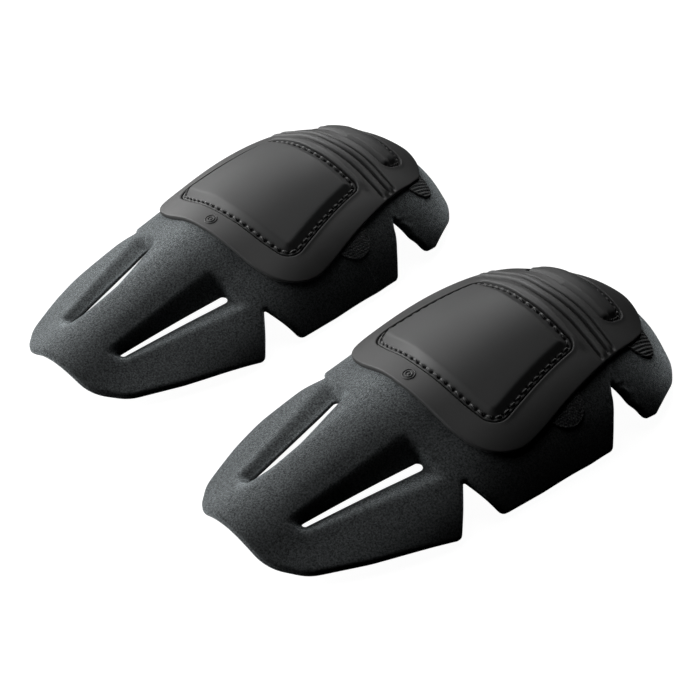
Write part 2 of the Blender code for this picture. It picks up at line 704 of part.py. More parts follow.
def build():
    for old in list(bpy.data.objects):
        bpy.data.objects.remove(old)
    knee_window = (WINDOW_CORNERS, WINDOW_CENTRE, WINDOW_SIDES)
    thigh_window = (THIGH_WINDOW_CORNERS, THIGH_CENTRE, THIGH_WINDOW_SIDES)
    side_outline = patch_outline(SIDE_PATCH_AT, SIDE_PATCH_DISC, CAP_FRAME_CORNERS)
    upper_outline = patch_outline(UPPER_PATCH_AT, UPPER_PATCH_DISC, CAP_THIGH_CORNERS)
    on_knee = [knee_foam(), cap_frame(), cap_plug(), shock_pad(),
               panel("knee_panel", *knee_window, BEVEL_INSETS, PANEL_BEVEL_TOP,
                     PANEL_CROWN_TOP),
               stitching("knee_stitching", *knee_window, THREAD_INSETS),
               flex_band("shin_flex_band", SHIN_BAND, SHIN_BAND_HALF_WIDTH),
               flex_band("thigh_flex_band", THIGH_BAND, THIGH_BAND_HALF_WIDTH),
               cap_ribs(),
               patch("side_patch_a", SIDE_PATCH_AT, side_outline, 1),
               patch("side_patch_b", SIDE_PATCH_AT, side_outline, -1)]
    on_thigh = [thigh_foam(), cap_thigh(),
                panel("thigh_panel", *thigh_window, THIGH_BEVEL_INSETS, THIGH_BEVEL_TOP,
                      THIGH_BEVEL_TOP + THIGH_CROWN_RISE),
                stitching("thigh_stitching", *thigh_window, THIGH_THREAD_INSETS),
                patch("upper_patch_a", UPPER_PATCH_AT, upper_outline, 1),
                patch("upper_patch_b", UPPER_PATCH_AT, upper_outline, -1)]
    on_shin = [shin_foam()]
    for side, (x, y, yaw) in GUARD_PLACES.items():
        base = empty(side + "_guard", (x * MM, y * MM, 0))
        base.rotation_euler.z = math.radians(yaw)
        groups = [(on_knee, Vector((0, 0, 0)), ""),
                  (on_thigh, hinge_place(THIGH_HINGE_AT), "_thigh"),
                  (on_shin, hinge_place(SHIN_HINGE_AT), "_shin")]
        for meshes, pivot, suffix in groups:
            parent = empty(side + suffix + "_hinge", pivot, base) if suffix else base
            for source in meshes:
                mesh = source.copy()
                mesh.transform(Matrix.Translation(-pivot))
                mesh.shade_smooth()
                mesh.set_sharp_from_angle(angle=math.radians(SMOOTH_ANGLE))
                made = bpy.data.objects.new(node_name(side, source.name), mesh)
                mesh.materials.append(material(source.name.removesuffix("_a").removesuffix("_b")))
                made.parent = parent
                bpy.context.collection.objects.link(made)
    for source in on_knee + on_thigh + on_shin:
        bpy.data.meshes.remove(source)


build()
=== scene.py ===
"""Looks of a pair of knee guards: moulded foam pads covered in brushed fabric, rubber caps,
stitched-in knee and thigh panels, hook patches. Sizes are in millimetres on each guard's own
curved surface (u across, v along, lift above the foam's outer face) and end up in metres.
"""
import math

import bmesh
import bpy
import numpy as np
from mathutils import Matrix, Vector
from mathutils.geometry import delaunay_2d_cdt
from mathutils.kdtree import KDTree


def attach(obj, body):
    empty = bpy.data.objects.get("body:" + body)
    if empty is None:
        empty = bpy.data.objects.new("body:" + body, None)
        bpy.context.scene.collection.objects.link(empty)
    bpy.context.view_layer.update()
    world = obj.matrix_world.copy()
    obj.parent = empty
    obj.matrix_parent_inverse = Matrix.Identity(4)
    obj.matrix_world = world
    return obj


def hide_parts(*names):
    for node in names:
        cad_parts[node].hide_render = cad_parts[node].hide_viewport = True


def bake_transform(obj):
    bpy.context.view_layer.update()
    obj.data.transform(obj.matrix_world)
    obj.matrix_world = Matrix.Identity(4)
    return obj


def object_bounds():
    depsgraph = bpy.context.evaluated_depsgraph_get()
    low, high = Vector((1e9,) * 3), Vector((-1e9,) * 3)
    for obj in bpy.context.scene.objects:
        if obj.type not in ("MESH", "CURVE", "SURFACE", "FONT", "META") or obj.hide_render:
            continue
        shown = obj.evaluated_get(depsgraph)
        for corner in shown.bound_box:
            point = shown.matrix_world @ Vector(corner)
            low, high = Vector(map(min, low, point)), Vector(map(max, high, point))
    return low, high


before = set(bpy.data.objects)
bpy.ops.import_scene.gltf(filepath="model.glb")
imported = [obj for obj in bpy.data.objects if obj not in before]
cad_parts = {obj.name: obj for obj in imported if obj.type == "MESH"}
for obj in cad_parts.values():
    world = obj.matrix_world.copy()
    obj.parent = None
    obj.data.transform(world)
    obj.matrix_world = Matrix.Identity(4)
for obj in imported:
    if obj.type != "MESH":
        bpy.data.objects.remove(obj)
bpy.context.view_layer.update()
MM = 0.001
# x and y of each guard's own origin, and its turn in degrees
SIDES = {"left": (90.09, -6.14, 0.0), "right": (-86.01, 0.76, 4.9)}

# ---- the curved surface, as in the CAD ------------------------------------------------------

# pitch in degrees along the ridge, by v
RIDGE_PITCH = [(-20, 12), (0, 12), (50, 12), (94, 8.5), (132, 8.5), (165, -1), (193, -13),
               (215, -29), (237, -46), (259, -60), (275, -66)]
RIDGE_START = (-114.7, 22.32)
# tilt in degrees across the ridge, by u
SHIN_TILT = [(0, 0), (22, 27), (44, 22), (64, 34), (79, 64), (99, 72), (140, 80)]
KNEE_TILT = [(0, 0), (22, 20), (44, 24), (64, 44), (79, 66), (99, 76), (140, 82)]
SHIN_SECTION_ENDS = 66
KNEE_SECTION_STARTS = 121
TABLE_STEP = 0.5


def smooth_value(knots, x):
    """Value at x of the smooth curve through (x, value) knots."""
    xs = [k[0] for k in knots]
    ys = [k[1] for k in knots]
    slopes = []
    for i in range(len(knots)):
        a = max(i - 1, 0)
        b = min(i + 1, len(knots) - 1)
        slopes.append((ys[b] - ys[a]) / (xs[b] - xs[a]))
    x = min(max(x, xs[0]), xs[-1])
    i = min(max(int(np.searchsorted(xs, x)) - 1, 0), len(knots) - 2)
    span = xs[i + 1] - xs[i]
    t = (x - xs[i]) / span
    rise = ys[i + 1] - ys[i]
    return (ys[i] + rise * t * t * (3 - 2 * t)
            + span * t * (1 - t) * (slopes[i] * (1 - t) - slopes[i + 1] * t))


def step(x):
    """Smooth step from 0 to 1 over the same range of x."""
    t = np.clip(x, 0.0, 1.0)
    return t * t * (3 - 2 * t)


def running_sum(values):
    return np.concatenate([[0.0], np.cumsum((values[1:] + values[:-1]) / 2 * TABLE_STEP)])


RIDGE_V = np.arange(RIDGE_PITCH[0][0], RIDGE_PITCH[-1][0], TABLE_STEP)
RIDGE_ANGLE = np.radians([smooth_value(RIDGE_PITCH, v) for v in RIDGE_V])
RIDGE_Y = running_sum(np.cos(RIDGE_ANGLE))
RIDGE_Z = running_sum(np.sin(RIDGE_ANGLE))
RIDGE_Y += RIDGE_START[0] - np.interp(0, RIDGE_V, RIDGE_Y)
RIDGE_Z += RIDGE_START[1] - np.interp(0, RIDGE_V, RIDGE_Z)
SECTION_U = np.arange(0, SHIN_TILT[-1][0], TABLE_STEP)


def section_table(tilt):
    """Angle, reach and drop of a cross section at each of SECTION_U."""
    angle = np.radians([smooth_value(tilt, u) for u in SECTION_U])
    return angle, running_sum(np.cos(angle)), -running_sum(np.sin(angle))


SHIN_TABLE = section_table(SHIN_TILT)
KNEE_TABLE = section_table(KNEE_TILT)


def place(uv, lift):
    """Points (N, 3) in a guard's own frame, in millimetres."""
    uv = np.asarray(uv, float).reshape(-1, 2)
    u = uv[:, 0]
    v = uv[:, 1]
    lift = np.broadcast_to(np.asarray(lift, float), u.shape)
    blend = step((v - SHIN_SECTION_ENDS) / (KNEE_SECTION_STARTS - SHIN_SECTION_ENDS))
    angle, out, drop = [(1 - blend) * np.interp(abs(u), SECTION_U, a)
                        + blend * np.interp(abs(u), SECTION_U, b)
                        for a, b in zip(SHIN_TABLE, KNEE_TABLE)]
    pitch = np.interp(v, RIDGE_V, RIDGE_ANGLE)
    side = np.sign(u) + (u == 0)
    rise = drop + np.cos(angle) * lift
    return np.stack([side * (out + np.sin(angle) * lift),
                     np.interp(v, RIDGE_V, RIDGE_Y) - np.sin(pitch) * rise,
                     np.interp(v, RIDGE_V, RIDGE_Z) + np.cos(pitch) * rise], 1)


# ---- outlines in (u, v) ---------------------------------------------------------------------

# (u, v, corner radius) down one half, from the front of the ridge to its rear
FOAM_CORNERS = [(0, -6.8, 0), (29, -7.2, 24), (45.2, 4.7, 24), (59.5, 29.5, 80), (79.2, 70.3, 3),
                (56.5, 89, 1.2), (83.2, 95.8, 4), (87.3, 118, 80), (91, 150, 80), (91, 170.2, 4),
                (58.8, 185.6, 1.2), (73.5, 194.2, 10), (82.5, 210, 14), (80.3, 222.5, 6),
                (62, 245.5, 14), (46, 255.5, 25), (28, 261, 30), (0, 261.5, 0)]
CAP_CORNERS = [(0, 99, 0), (38, 100.2, 60), (64.8, 106.5, 22), (62, 133, 150),
               (54.2, 169.7, 200), (47.6, 198.5, 100), (43.9, 213.5, 60), (37.4, 227.4, 16),
               (24, 237.2, 30), (0, 243.4, 0)]
WINDOW_CORNERS = [(0, 111.1, 150), (30, 112.6, 120), (49.6, 115.4, 9), (43.6, 146, 200),
                  (37.3, 179.2, 7), (0, 177.3, 0)]
THIGH_CORNERS = [(0, 199.4, 0), (31.8, 203.4, 6), (28.2, 221.3, 8), (0, 219, 0)]
STRAIGHT_HALF = math.radians(89.5)
ARC_STEP = 8
ARC_LEAST = 4
CHUNK = 4000
TINY = 1e-12


def whole(corners):
    """Both halves of a symmetric outline."""
    left = [(-u, v, r) for u, v, r in corners if u > 0]
    return list(corners) + left[::-1]


def rounded(corners):
    """Polyline around a polygon whose corners are arcs."""
    points = []
    count = len(corners)
    for i, (u, v, radius) in enumerate(corners):
        here = Vector((u, v))
        before = (Vector(corners[i - 1][:2]) - here).normalized()
        after = (Vector(corners[(i + 1) % count][:2]) - here).normalized()
        half = before.angle(after) / 2
        if radius == 0 or half > STRAIGHT_HALF:
            points.append(here)
            continue
        reach = radius / math.tan(half)
        centre = here + (before + after).normalized() * radius / math.sin(half)
        start = here + before * reach - centre
        turn = math.pi - 2 * half
        side = 1 if before.x * after.y - before.y * after.x < 0 else -1
        steps = max(ARC_LEAST, math.ceil(math.degrees(turn) / ARC_STEP))
        for k in range(steps + 1):
            points.append(centre + Matrix.Rotation(side * turn * k / steps, 2) @ start)
    return np.array(points)


def inset(corners, distance):
    """The same polygon with every edge moved inwards."""
    moved = []
    count = len(corners)
    for i, (u, v, radius) in enumerate(corners):
        here = Vector((u, v))
        d1 = (here - Vector(corners[i - 1][:2])).normalized()
        d2 = (Vector(corners[(i + 1) % count][:2]) - here).normalized()
        n1 = Vector((-d1.y, d1.x))
        n2 = Vector((-d2.y, d2.x))
        corner = here + (n1 + n2) * distance / (1 + n1.dot(n2))
        moved.append((corner.x, corner.y, max(radius - distance, 1.0) if radius else 0))
    return moved


def even(points, spacing):
    """The same closed line with points at an equal spacing."""
    line = np.vstack([points, points[:1]])
    run = np.concatenate([[0], np.cumsum(np.linalg.norm(np.diff(line, axis=0), axis=1))])
    count = max(3, round(run[-1] / spacing))
    at = np.linspace(0, run[-1], count + 1)[:-1]
    return np.stack([np.interp(at, run, line[:, k]) for k in range(2)], 1)


def area_of(loop):
    x, y = loop[:, 0], loop[:, 1]
    return 0.5 * np.sum(x * np.roll(y, -1) - np.roll(x, -1) * y)


def outward(loop):
    """Outward unit direction at each point of a loop that runs anticlockwise."""
    along = np.roll(loop, -1, 0) - np.roll(loop, 1, 0)
    along /= np.linalg.norm(along, axis=1)[:, None]
    return np.stack([along[:, 1], -along[:, 0]], 1)


def tree_of(points):
    tree = KDTree(len(points))
    for i, p in enumerate(points):
        tree.insert((p[0], p[1], 0), i)
    tree.balance()
    return tree


def gap_to(points, candidates):
    """Distance from each candidate to the nearest of the points."""
    tree = tree_of(points)
    return np.array([tree.find((p[0], p[1], 0))[2] for p in candidates])


class Outline:
    """Closed line that gives the distance to it and whether a point is inside it."""

    def __init__(self, loop):
        self.loop = loop if area_of(loop) > 0 else loop[::-1]
        self.tree = tree_of(self.loop)

    def distance(self, uv):
        uv = np.asarray(uv, float).reshape(-1, 2)
        near = np.array([self.tree.find((p[0], p[1], 0))[1] for p in uv])
        count = len(self.loop)
        best = np.full(len(uv), np.inf)
        for k in (-2, -1, 0, 1):
            a = self.loop[(near + k) % count]
            ab = self.loop[(near + k + 1) % count] - a
            t = np.clip(((uv - a) * ab).sum(1) / (ab * ab).sum(1), 0, 1)
            best = np.minimum(best, np.linalg.norm(uv - a - ab * t[:, None], axis=1))
        return best

    def inside(self, uv):
        uv = np.asarray(uv, float).reshape(-1, 2)
        a = self.loop
        b = np.roll(a, -1, 0)
        result = np.zeros(len(uv), bool)
        for first in range(0, len(uv), CHUNK):
            p = uv[first:first + CHUNK, None]
            crosses = (a[:, 1] > p[..., 1]) != (b[:, 1] > p[..., 1])
            rise = np.where(b[:, 1] == a[:, 1], TINY, b[:, 1] - a[:, 1])
            at = a[:, 0] + (p[..., 1] - a[:, 1]) * (b[:, 0] - a[:, 0]) / rise
            result[first:first + CHUNK] = (crosses & (p[..., 0] < at)).sum(1) % 2 == 1
        return result


def outline(corners, spacing):
    return Outline(even(rounded(whole(corners)), spacing))


def curve(knots):
    """Monotone smooth function through (x, value) knots."""
    xs = np.array([k[0] for k in knots], float)
    ys = np.array([k[1] for k in knots], float)
    rate = np.diff(ys) / np.diff(xs)
    slopes = np.zeros(len(xs))
    for i in range(1, len(xs) - 1):
        if rate[i - 1] * rate[i] > 0:
            slopes[i] = 2 * rate[i - 1] * rate[i] / (rate[i - 1] + rate[i])

    def value(x):
        x = np.clip(x, xs[0], xs[-1])
        i = np.clip(np.searchsorted(xs, x) - 1, 0, len(xs) - 2)
        span = xs[i + 1] - xs[i]
        t = (x - xs[i]) / span
        h = t * t * (3 - 2 * t)
        return (ys[i] * (1 - h) + ys[i + 1] * h
                + span * t * (1 - t) * (slopes[i] * (1 - t) - slopes[i + 1] * t))
    return value


def quarter(d):
    """Share of a rounded edge's drop at distance d, in radii, from the edge."""
    return 1 - np.sqrt(1 - (1 - np.clip(d, 0, 1)) ** 2)


def flat_at(lift):
    """A sheet of one lift all over."""
    return lambda uv: np.full(len(uv), lift)


def circle(count, start=0.0):
    """Unit directions at equal angles."""
    angles = np.arange(start, math.tau + start, math.tau / count)
    return [np.array([math.cos(a), math.sin(a)]) for a in angles]


# ---- solids over a region of the surface ----------------------------------------------------

ROW_SLACK = 0.04
GRID_CLEARANCE = 0.55
EXTRA_FROM_EDGE = 0.1
EXTRA_FROM_ROWS = 0.3
GRID_FROM_EXTRA = 0.5
TRIANGLE_HEIGHT = 0.866
MERGE_DISTANCE = 1e-7
PLAIN_WALL = [(0.33, 0.0), (0.66, 0.0)]
HOLE_BULGE = 0.3


def region(outer, holes, levels, spacing, extra=None):
    """Points and triangles that fill a region, with rows of points along its edges."""
    edges = [outer, *holes]
    points = [e.loop for e in edges]
    links = []
    first = 0
    for e in edges:
        count = len(e.loop)
        links += [(first + k, first + (k + 1) % count) for k in range(count)]
        first += count

    def accept(candidates, margin):
        good = outer.inside(candidates) & (outer.distance(candidates) > margin)
        for h in holes:
            good &= ~h.inside(candidates) & (h.distance(candidates) > margin)
        return candidates[good]

    for e in edges:
        way = outward(e.loop) * (-1 if e is outer else 1)
        for d in levels:
            points.append(accept(e.loop + way * d, d - ROW_SLACK))
    low = outer.loop.min(0)
    high = outer.loop.max(0)
    grid = np.array([(u + (k % 2) * spacing / 2, v)
                     for k, v in enumerate(np.arange(low[1], high[1], spacing * TRIANGLE_HEIGHT))
                     for u in np.arange(low[0], high[0], spacing)])
    grid = accept(grid, levels[-1] + GRID_CLEARANCE * spacing)
    if extra is not None:
        extra = accept(extra, EXTRA_FROM_EDGE)
        extra = extra[gap_to(np.vstack(points), extra) > EXTRA_FROM_ROWS]
        points.append(extra)
        grid = grid[gap_to(extra, grid) > GRID_FROM_EXTRA * spacing]
    points = np.vstack([*points, grid])
    made = delaunay_2d_cdt([Vector(p) for p in points], links, [], 0, MERGE_DISTANCE)
    flat = np.array([v[:] for v in made[0]])
    order = np.zeros(len(flat), int)
    fresh = []
    for k, sources in enumerate(made[3]):
        if sources:
            order[k] = sources[0]
        else:
            order[k] = len(points) + len(fresh)
            fresh.append(flat[k])
    if fresh:
        points = np.vstack([points, fresh])
    triangles = np.array(made[2])
    middle = flat[triangles].mean(1)
    # the triangulation rounds to single precision, so its faces are tested against such lines
    rim, *gaps = [Outline(e.loop.astype(np.float32).astype(float)) for e in edges]
    good = rim.inside(middle)
    for gap in gaps:
        good &= ~gap.inside(middle)
    return points, order[triangles[good]]


def solid(name, outer, holes, top, bottom, levels, spacing, back_spacing, extra=None,
          wall=PLAIN_WALL, back_levels=None):
    """Closed body: a top sheet, a bottom sheet and edge walls between them.

    wall gives (share of the way down, outward offset) rows for the edge walls.
    """
    front, front_faces = region(outer, holes, levels, spacing, extra)
    back, back_faces = region(outer, holes, back_levels or levels[:2], back_spacing)
    front_lift = top(front)
    back_lift = bottom(back)
    points = [place(front, front_lift), place(back, back_lift)]
    faces = [front_faces.tolist(), (back_faces[:, ::-1] + len(front)).tolist()]
    total = len(front) + len(back)
    first = 0
    for n, edge in enumerate([outer, *holes]):
        count = len(edge.loop)
        way = outward(edge.loop) * (1 if n == 0 else -1)
        above = front_lift[first:first + count]
        below = back_lift[first:first + count]
        rows = [np.arange(first, first + count)]
        for share, offset in wall:
            bulge = offset * (1 if n == 0 else HOLE_BULGE)
            points.append(place(edge.loop + way * bulge, above * (1 - share) + below * share))
            rows.append(np.arange(total, total + count))
            total += count
        rows.append(np.arange(first, first + count) + len(front))
        quads = []
        for a, b in zip(rows, rows[1:]):
            for k in range(count):
                m = (k + 1) % count
                quad = (a[k], b[k], b[m], a[m]) if n == 0 else (a[m], b[m], b[k], a[k])
                quads.append([int(i) for i in quad])
        faces.append(quads)
        first += count
    return body(name, np.vstack(points), [f for group in faces for f in group])


def body(name, points, faces):
    """Mesh with smooth shading, in a guard's own frame, in metres."""
    mesh = bpy.data.meshes.new(name)
    mesh.from_pydata((np.asarray(points) * MM).tolist(), [], faces)
    mesh.update()
    bm = bmesh.new()
    bm.from_mesh(mesh)
    loose = [v for v in bm.verts if not v.link_faces]
    bmesh.ops.delete(bm, geom=loose, context="VERTS")
    bmesh.ops.recalc_face_normals(bm, faces=bm.faces)
    bm.to_mesh(mesh)
    bm.free()
    mesh.shade_smooth()
    return mesh


def tube_faces(base, rings, sides):
    """Quads of a tube whose rings of points follow each other from base."""
    faces = []
    for k in range(rings - 1):
        for s in range(sides):
            n = (s + 1) % sides
            p = base + k * sides
            faces.append([p + s, p + n, p + sides + n, p + sides + s])
    return faces


FOAM = outline(FOAM_CORNERS, 1.0)
CAP = outline(CAP_CORNERS, 0.9)
WINDOW = outline(WINDOW_CORNERS, 0.7)
THIGH_WINDOW = outline(THIGH_CORNERS, 0.6)

# ---- foam pad -------------------------------------------------------------------------------

# pairs run from the shin end of a slot or its recess to the knee end
SLOT_START = (24.2, 18.6)
SLOT_END = (37.2, 81.3)
SLOT_HALF_WIDTHS = (1.5, 2.5)
SLOT_END_STEPS = 12
SLOT_SPACING = 0.6
RECESS_INNER = (18.8, 21.3)
RECESS_OUTER = (28.5, 53.0)
RECESS_DEPTH = (6.0, 6.5)
RECESS_LEAN = (1.35, 0.9)
RECESS_V = (13.6, 85.0)
RECESS_START_WALL = 6.5
RECESS_END_WALL = 4.0
RECESS_LEAST_WALL = 1.5
RECESS_WALL = curve([(0, 0), (0.07, 0.03), (0.92, 0.965), (1, 1)])
# drop of the ridge's flank beside a slot, by v
SHOULDER_DROP = curve([(8, 0), (20, 3.2), (34, 4.4), (46, 4.5), (58, 3.3), (70, 1.5), (80, 0.4),
                       (88, 0)])
SHOULDER_START = 8.0
SHOULDER_REACH = 11.0
SHOULDER_END = 3.0
SHOULDER_NEAR_SHARE = 0.15
SLOT_LIP = 1.4
SLOT_LIP_REACH = 6.0
SLOT_EDGE = 0.5
ROUND_OVER = 2.0
ROUND_OVER_DROP = 1.8
FOAM_EDGE = 5.0
FOAM_THICKNESS = 8.5
FOAM_TAPER = 12
BACK_ROUND = 1.2
BACK_ROUND_RISE = 1.1
WRINKLES_AT = (61.0, 183.0)
WRINKLE_RAYS = 13
WRINKLE_SWAY = (0.5, 0.9)
WRINKLE_START = (2, 4)
WRINKLE_END = (19, 10)
WRINKLE_FROM_CAP = 3
WRINKLE_HEIGHT = 0.42
WRINKLE_V = (-6, 24)
FOAM_LEVELS = [0.25, 0.6, 1.1, 1.8, 2.8, 4.2]
FOAM_BACK_LEVELS = [0.4, 1.0, 2.0, 5.0]
# rolled edge with a seam between the outer and the inner fabric
FOAM_WALL = [(0.12, 0.22), (0.3, 0.42), (0.46, 0.45), (0.53, 0.05), (0.6, 0.42), (0.8, 0.36),
             (0.93, 0.16)]
FOAM_SPLIT_V = 151.0
SPLIT_MARGIN = 0.3
SPLIT_SPAN = 4
SPLIT_FINE_END = 6
SPLIT_POINTS = 96


def slot_outline(side):
    """Rounded slot that widens from its shin end to its knee end."""
    a = np.array(SLOT_START)
    b = np.array(SLOT_END)
    along = (b - a) / np.linalg.norm(b - a)
    across = np.array([along[1], -along[0]])
    points = []
    for tip, radius in ((b, SLOT_HALF_WIDTHS[1]), (a, -SLOT_HALF_WIDTHS[0])):
        for k in range(SLOT_END_STEPS + 1):
            angle = math.pi * k / SLOT_END_STEPS
            turned = across * math.cos(angle) + along * math.sin(angle)
            points.append(tip - along * radius + radius * turned)
    return Outline(even(np.array(points), SLOT_SPACING) * np.array([side, 1.0]))


SLOTS = [slot_outline(1), slot_outline(-1)]


def between(pair, share):
    return pair[0] + share * (pair[1] - pair[0])


def recess(uv):
    """Depth of the wedge-shaped recess around a slot, deepest along the slot's ridge side."""
    u = abs(uv[:, 0])
    v = uv[:, 1]
    t = (v - SLOT_START[1]) / (SLOT_END[1] - SLOT_START[1])
    middle = SLOT_START[0] + t * (SLOT_END[0] - SLOT_START[0])
    along = np.clip(t, 0, 1)
    half = between(SLOT_HALF_WIDTHS, along)
    lean = between(RECESS_LEAN, along)
    floor_depth = between(RECESS_DEPTH, along) - lean * np.clip((u - middle) / half, -1, 1)
    share = np.clip((v - RECESS_V[0]) / (RECESS_V[1] - RECESS_V[0]), 0, 1)
    outer = between(RECESS_OUTER, share)
    inner = np.minimum(between(RECESS_INNER, share), middle - half - RECESS_LEAST_WALL)
    side = np.where(u < middle, (u - inner) / (middle - half - inner),
                    (outer - u) / (outer - middle - half))
    start = (v - RECESS_V[0]) / RECESS_START_WALL
    end = (RECESS_V[1] - v) / RECESS_END_WALL
    wall = (RECESS_WALL(np.clip(side, 0, 1)) * RECESS_WALL(np.clip(start, 0, 1))
            * RECESS_WALL(np.clip(end, 0, 1)))
    drop = (SHOULDER_DROP(v) * step((u - SHOULDER_START) / SHOULDER_REACH)
            * (1 - step((u - middle) / SHOULDER_END + 0.5))
            * np.where(uv[:, 0] < 0, 1.0, SHOULDER_NEAR_SHARE))
    return drop + (floor_depth - drop) * wall


def slot_distance(uv):
    return np.minimum(*[slot.distance(uv) for slot in SLOTS])


def wrinkles(uv):
    """Gathers in the fabric where it is pulled into the thigh notch, clear of the cap."""
    du = abs(uv[:, 0]) - WRINKLES_AT[0]
    dv = uv[:, 1] - WRINKLES_AT[1]
    far = np.hypot(du, dv)
    angle = np.arctan2(dv, -du)
    wave = np.sin(angle * WRINKLE_RAYS + WRINKLE_SWAY[0] * np.sin(far * WRINKLE_SWAY[1]))
    ridge = (wave * step((far - WRINKLE_START[0]) / WRINKLE_START[1])
             * step((WRINKLE_END[0] - far) / WRINKLE_END[1]))
    near_cap = np.where(CAP.inside(uv), 0, step(CAP.distance(uv) / WRINKLE_FROM_CAP))
    return WRINKLE_HEIGHT * ridge * near_cap * ((dv > WRINKLE_V[0]) & (dv < WRINKLE_V[1]))


def foam_top(uv):
    return (wrinkles(uv) - recess(uv)
            - ROUND_OVER_DROP * quarter(FOAM.distance(uv) / ROUND_OVER)
            - SLOT_EDGE * quarter(slot_distance(uv) / SLOT_EDGE))


def foam_bottom(uv):
    d = FOAM.distance(uv)
    lift = (-FOAM_EDGE - step(d / FOAM_TAPER) * (FOAM_THICKNESS - FOAM_EDGE)
            + BACK_ROUND_RISE * quarter(d / BACK_ROUND))
    share = step(1 - slot_distance(uv) / SLOT_LIP_REACH)
    return lift + share * (np.maximum(lift, -recess(uv) - SLOT_LIP) - lift)


def cut(loop, keep_low):
    """The part of a loop on one side of the split line, starting at that line."""
    beyond = (loop[:, 1] - FOAM_SPLIT_V) * (-1 if keep_low else 1)
    kept = loop[beyond > SPLIT_MARGIN]
    gap = np.argmax(np.linalg.norm(kept - np.roll(kept, 1, 0), axis=1))
    return np.roll(kept, -gap, 0)


def split_line():
    """Points along the split, the same for both halves of the foam, from left to right."""
    loop = FOAM.loop
    edge = loop[(loop[:, 0] > 0) & (abs(loop[:, 1] - FOAM_SPLIT_V) < SPLIT_SPAN)]
    edge = edge[np.argsort(edge[:, 1])]
    half = float(np.interp(FOAM_SPLIT_V, edge[:, 1], edge[:, 0]))
    fine = half - np.array([0, *FOAM_LEVELS])
    middle = np.linspace(-(half - SPLIT_FINE_END), half - SPLIT_FINE_END, SPLIT_POINTS)
    us = np.concatenate([-fine, middle, fine[::-1]])
    return np.stack([us, np.full(len(us), FOAM_SPLIT_V)], 1)


def foam_piece(name, keep_low):
    """One of the two lengths of foam, which meet under the cap."""
    line = split_line()
    rim = Outline(np.vstack([cut(FOAM.loop, keep_low), line[::-1] if keep_low else line]))
    return solid(name, rim, SLOTS if keep_low else [], foam_top, foam_bottom, FOAM_LEVELS, 1.7,
                 3.2, wall=FOAM_WALL, back_levels=FOAM_BACK_LEVELS)


# ---- cap ------------------------------------------------------------------------------------

CAP_UNDER = 0.15
CAP_FLANGE = 2.5
CAP_EDGE_ROUND = 0.6
WINDOW_EDGE_ROUND = 0.5
WINDOW_LIP = 0.35
WINDOW_LIP_REACH = 2.4
WINDOW_LIP_V = (116, 12)
THIGH_LIP = 0.3
THIGH_LIP_REACH = 2.6
# v, half width and height of the roll behind the knee panel, its bow and its ends
REAR_ROLL = (180.2, 1.9, 1.1)
REAR_ROLL_BOW = (0.6, 40)
REAR_ROLL_ENDS = (43, 9)
# v on the ridge, rise at the sides and half width of each groove
RIB_GROOVES = [(184.3, 2.1, 0.8), (189.2, 2.9, 0.95), (193.9, 3.1, 0.95)]
RIB_CURVE_REACH = 30.0
RIB_DEPTH = 2.3
RIB_CROWN = 0.9
RIB_CROWN_HALF = 1.7
RIB_FADE = (0.8, 3.5)
RIB_COLUMNS = np.arange(-54, 54, 1.2)
RIB_ROWS = (-2.2, -1.5, -1.2, -0.95, -0.7, 0.0, 0.7, 0.95, 1.2, 1.5, 2.2)
CAP_LEVELS = [0.12, 0.3, 0.6, 1.0, 1.6, 2.4, 3.5]
CAP_WALL = [(0.08, 0.06), (0.5, 0.22), (0.92, 0.15)]


def bell(x):
    """Smooth bump of height 1."""
    return np.exp(-x ** 2)


def flat_bell(x):
    """Bump of height 1 with a flatter top and steeper sides."""
    return np.exp(-x ** 4)


def cap_top(uv):
    u = abs(uv[:, 0])
    v = uv[:, 1]
    edge = CAP.distance(uv)
    window = WINDOW.distance(uv)
    thigh = THIGH_WINDOW.distance(uv)
    lift = np.full(len(uv), CAP_FLANGE)
    lift += (WINDOW_LIP * step(1 - window / WINDOW_LIP_REACH)
             * step((v - WINDOW_LIP_V[0]) / WINDOW_LIP_V[1]))
    lift += THIGH_LIP * step(1 - thigh / THIGH_LIP_REACH)
    at, half, height = REAR_ROLL
    bow, bow_reach = REAR_ROLL_BOW
    lift += (height * bell((v - at - bow * step(u / bow_reach)) / half)
             * step((REAR_ROLL_ENDS[0] - u) / REAR_ROLL_ENDS[1]))
    curved = step(u / RIB_CURVE_REACH)
    fade = step((edge - RIB_FADE[0]) / RIB_FADE[1])
    grooves = [(at + rise * curved, half) for at, rise, half in RIB_GROOVES]
    for at, half in grooves:
        lift -= RIB_DEPTH * flat_bell((v - at) / half) * fade
    for (a, _), (b, _) in zip(grooves, grooves[1:]):
        lift += RIB_CROWN * flat_bell((v - (a + b) / 2) / RIB_CROWN_HALF) * fade
    lift -= CAP_EDGE_ROUND * quarter(edge / CAP_EDGE_ROUND)
    for d in (window, thigh):
        lift -= WINDOW_EDGE_ROUND * quarter(d / WINDOW_EDGE_ROUND)
    return lift


def cap_piece():
    curved = step(abs(RIB_COLUMNS) / RIB_CURVE_REACH)
    rows = [np.stack([RIB_COLUMNS, at + rise * curved + way * half], 1)
            for at, rise, half in RIB_GROOVES for way in RIB_ROWS]
    return solid("cap", CAP, [WINDOW, THIGH_WINDOW], cap_top, flat_at(CAP_UNDER), CAP_LEVELS,
                 1.8, 3.5, extra=np.vstack(rows), wall=CAP_WALL)


# ---- panels ---------------------------------------------------------------------------------

PANEL_GAP = 0.5
PANEL_UNDER = 0.5
PANEL_SPACING = 0.6
PANEL_WALL = [(0.3, 0.08), (0.7, 0.08)]
PANEL_LEAN = 0.16
PANEL_FLANGE_AT = 1.5
PANEL_CROWN_START = (3, 6)
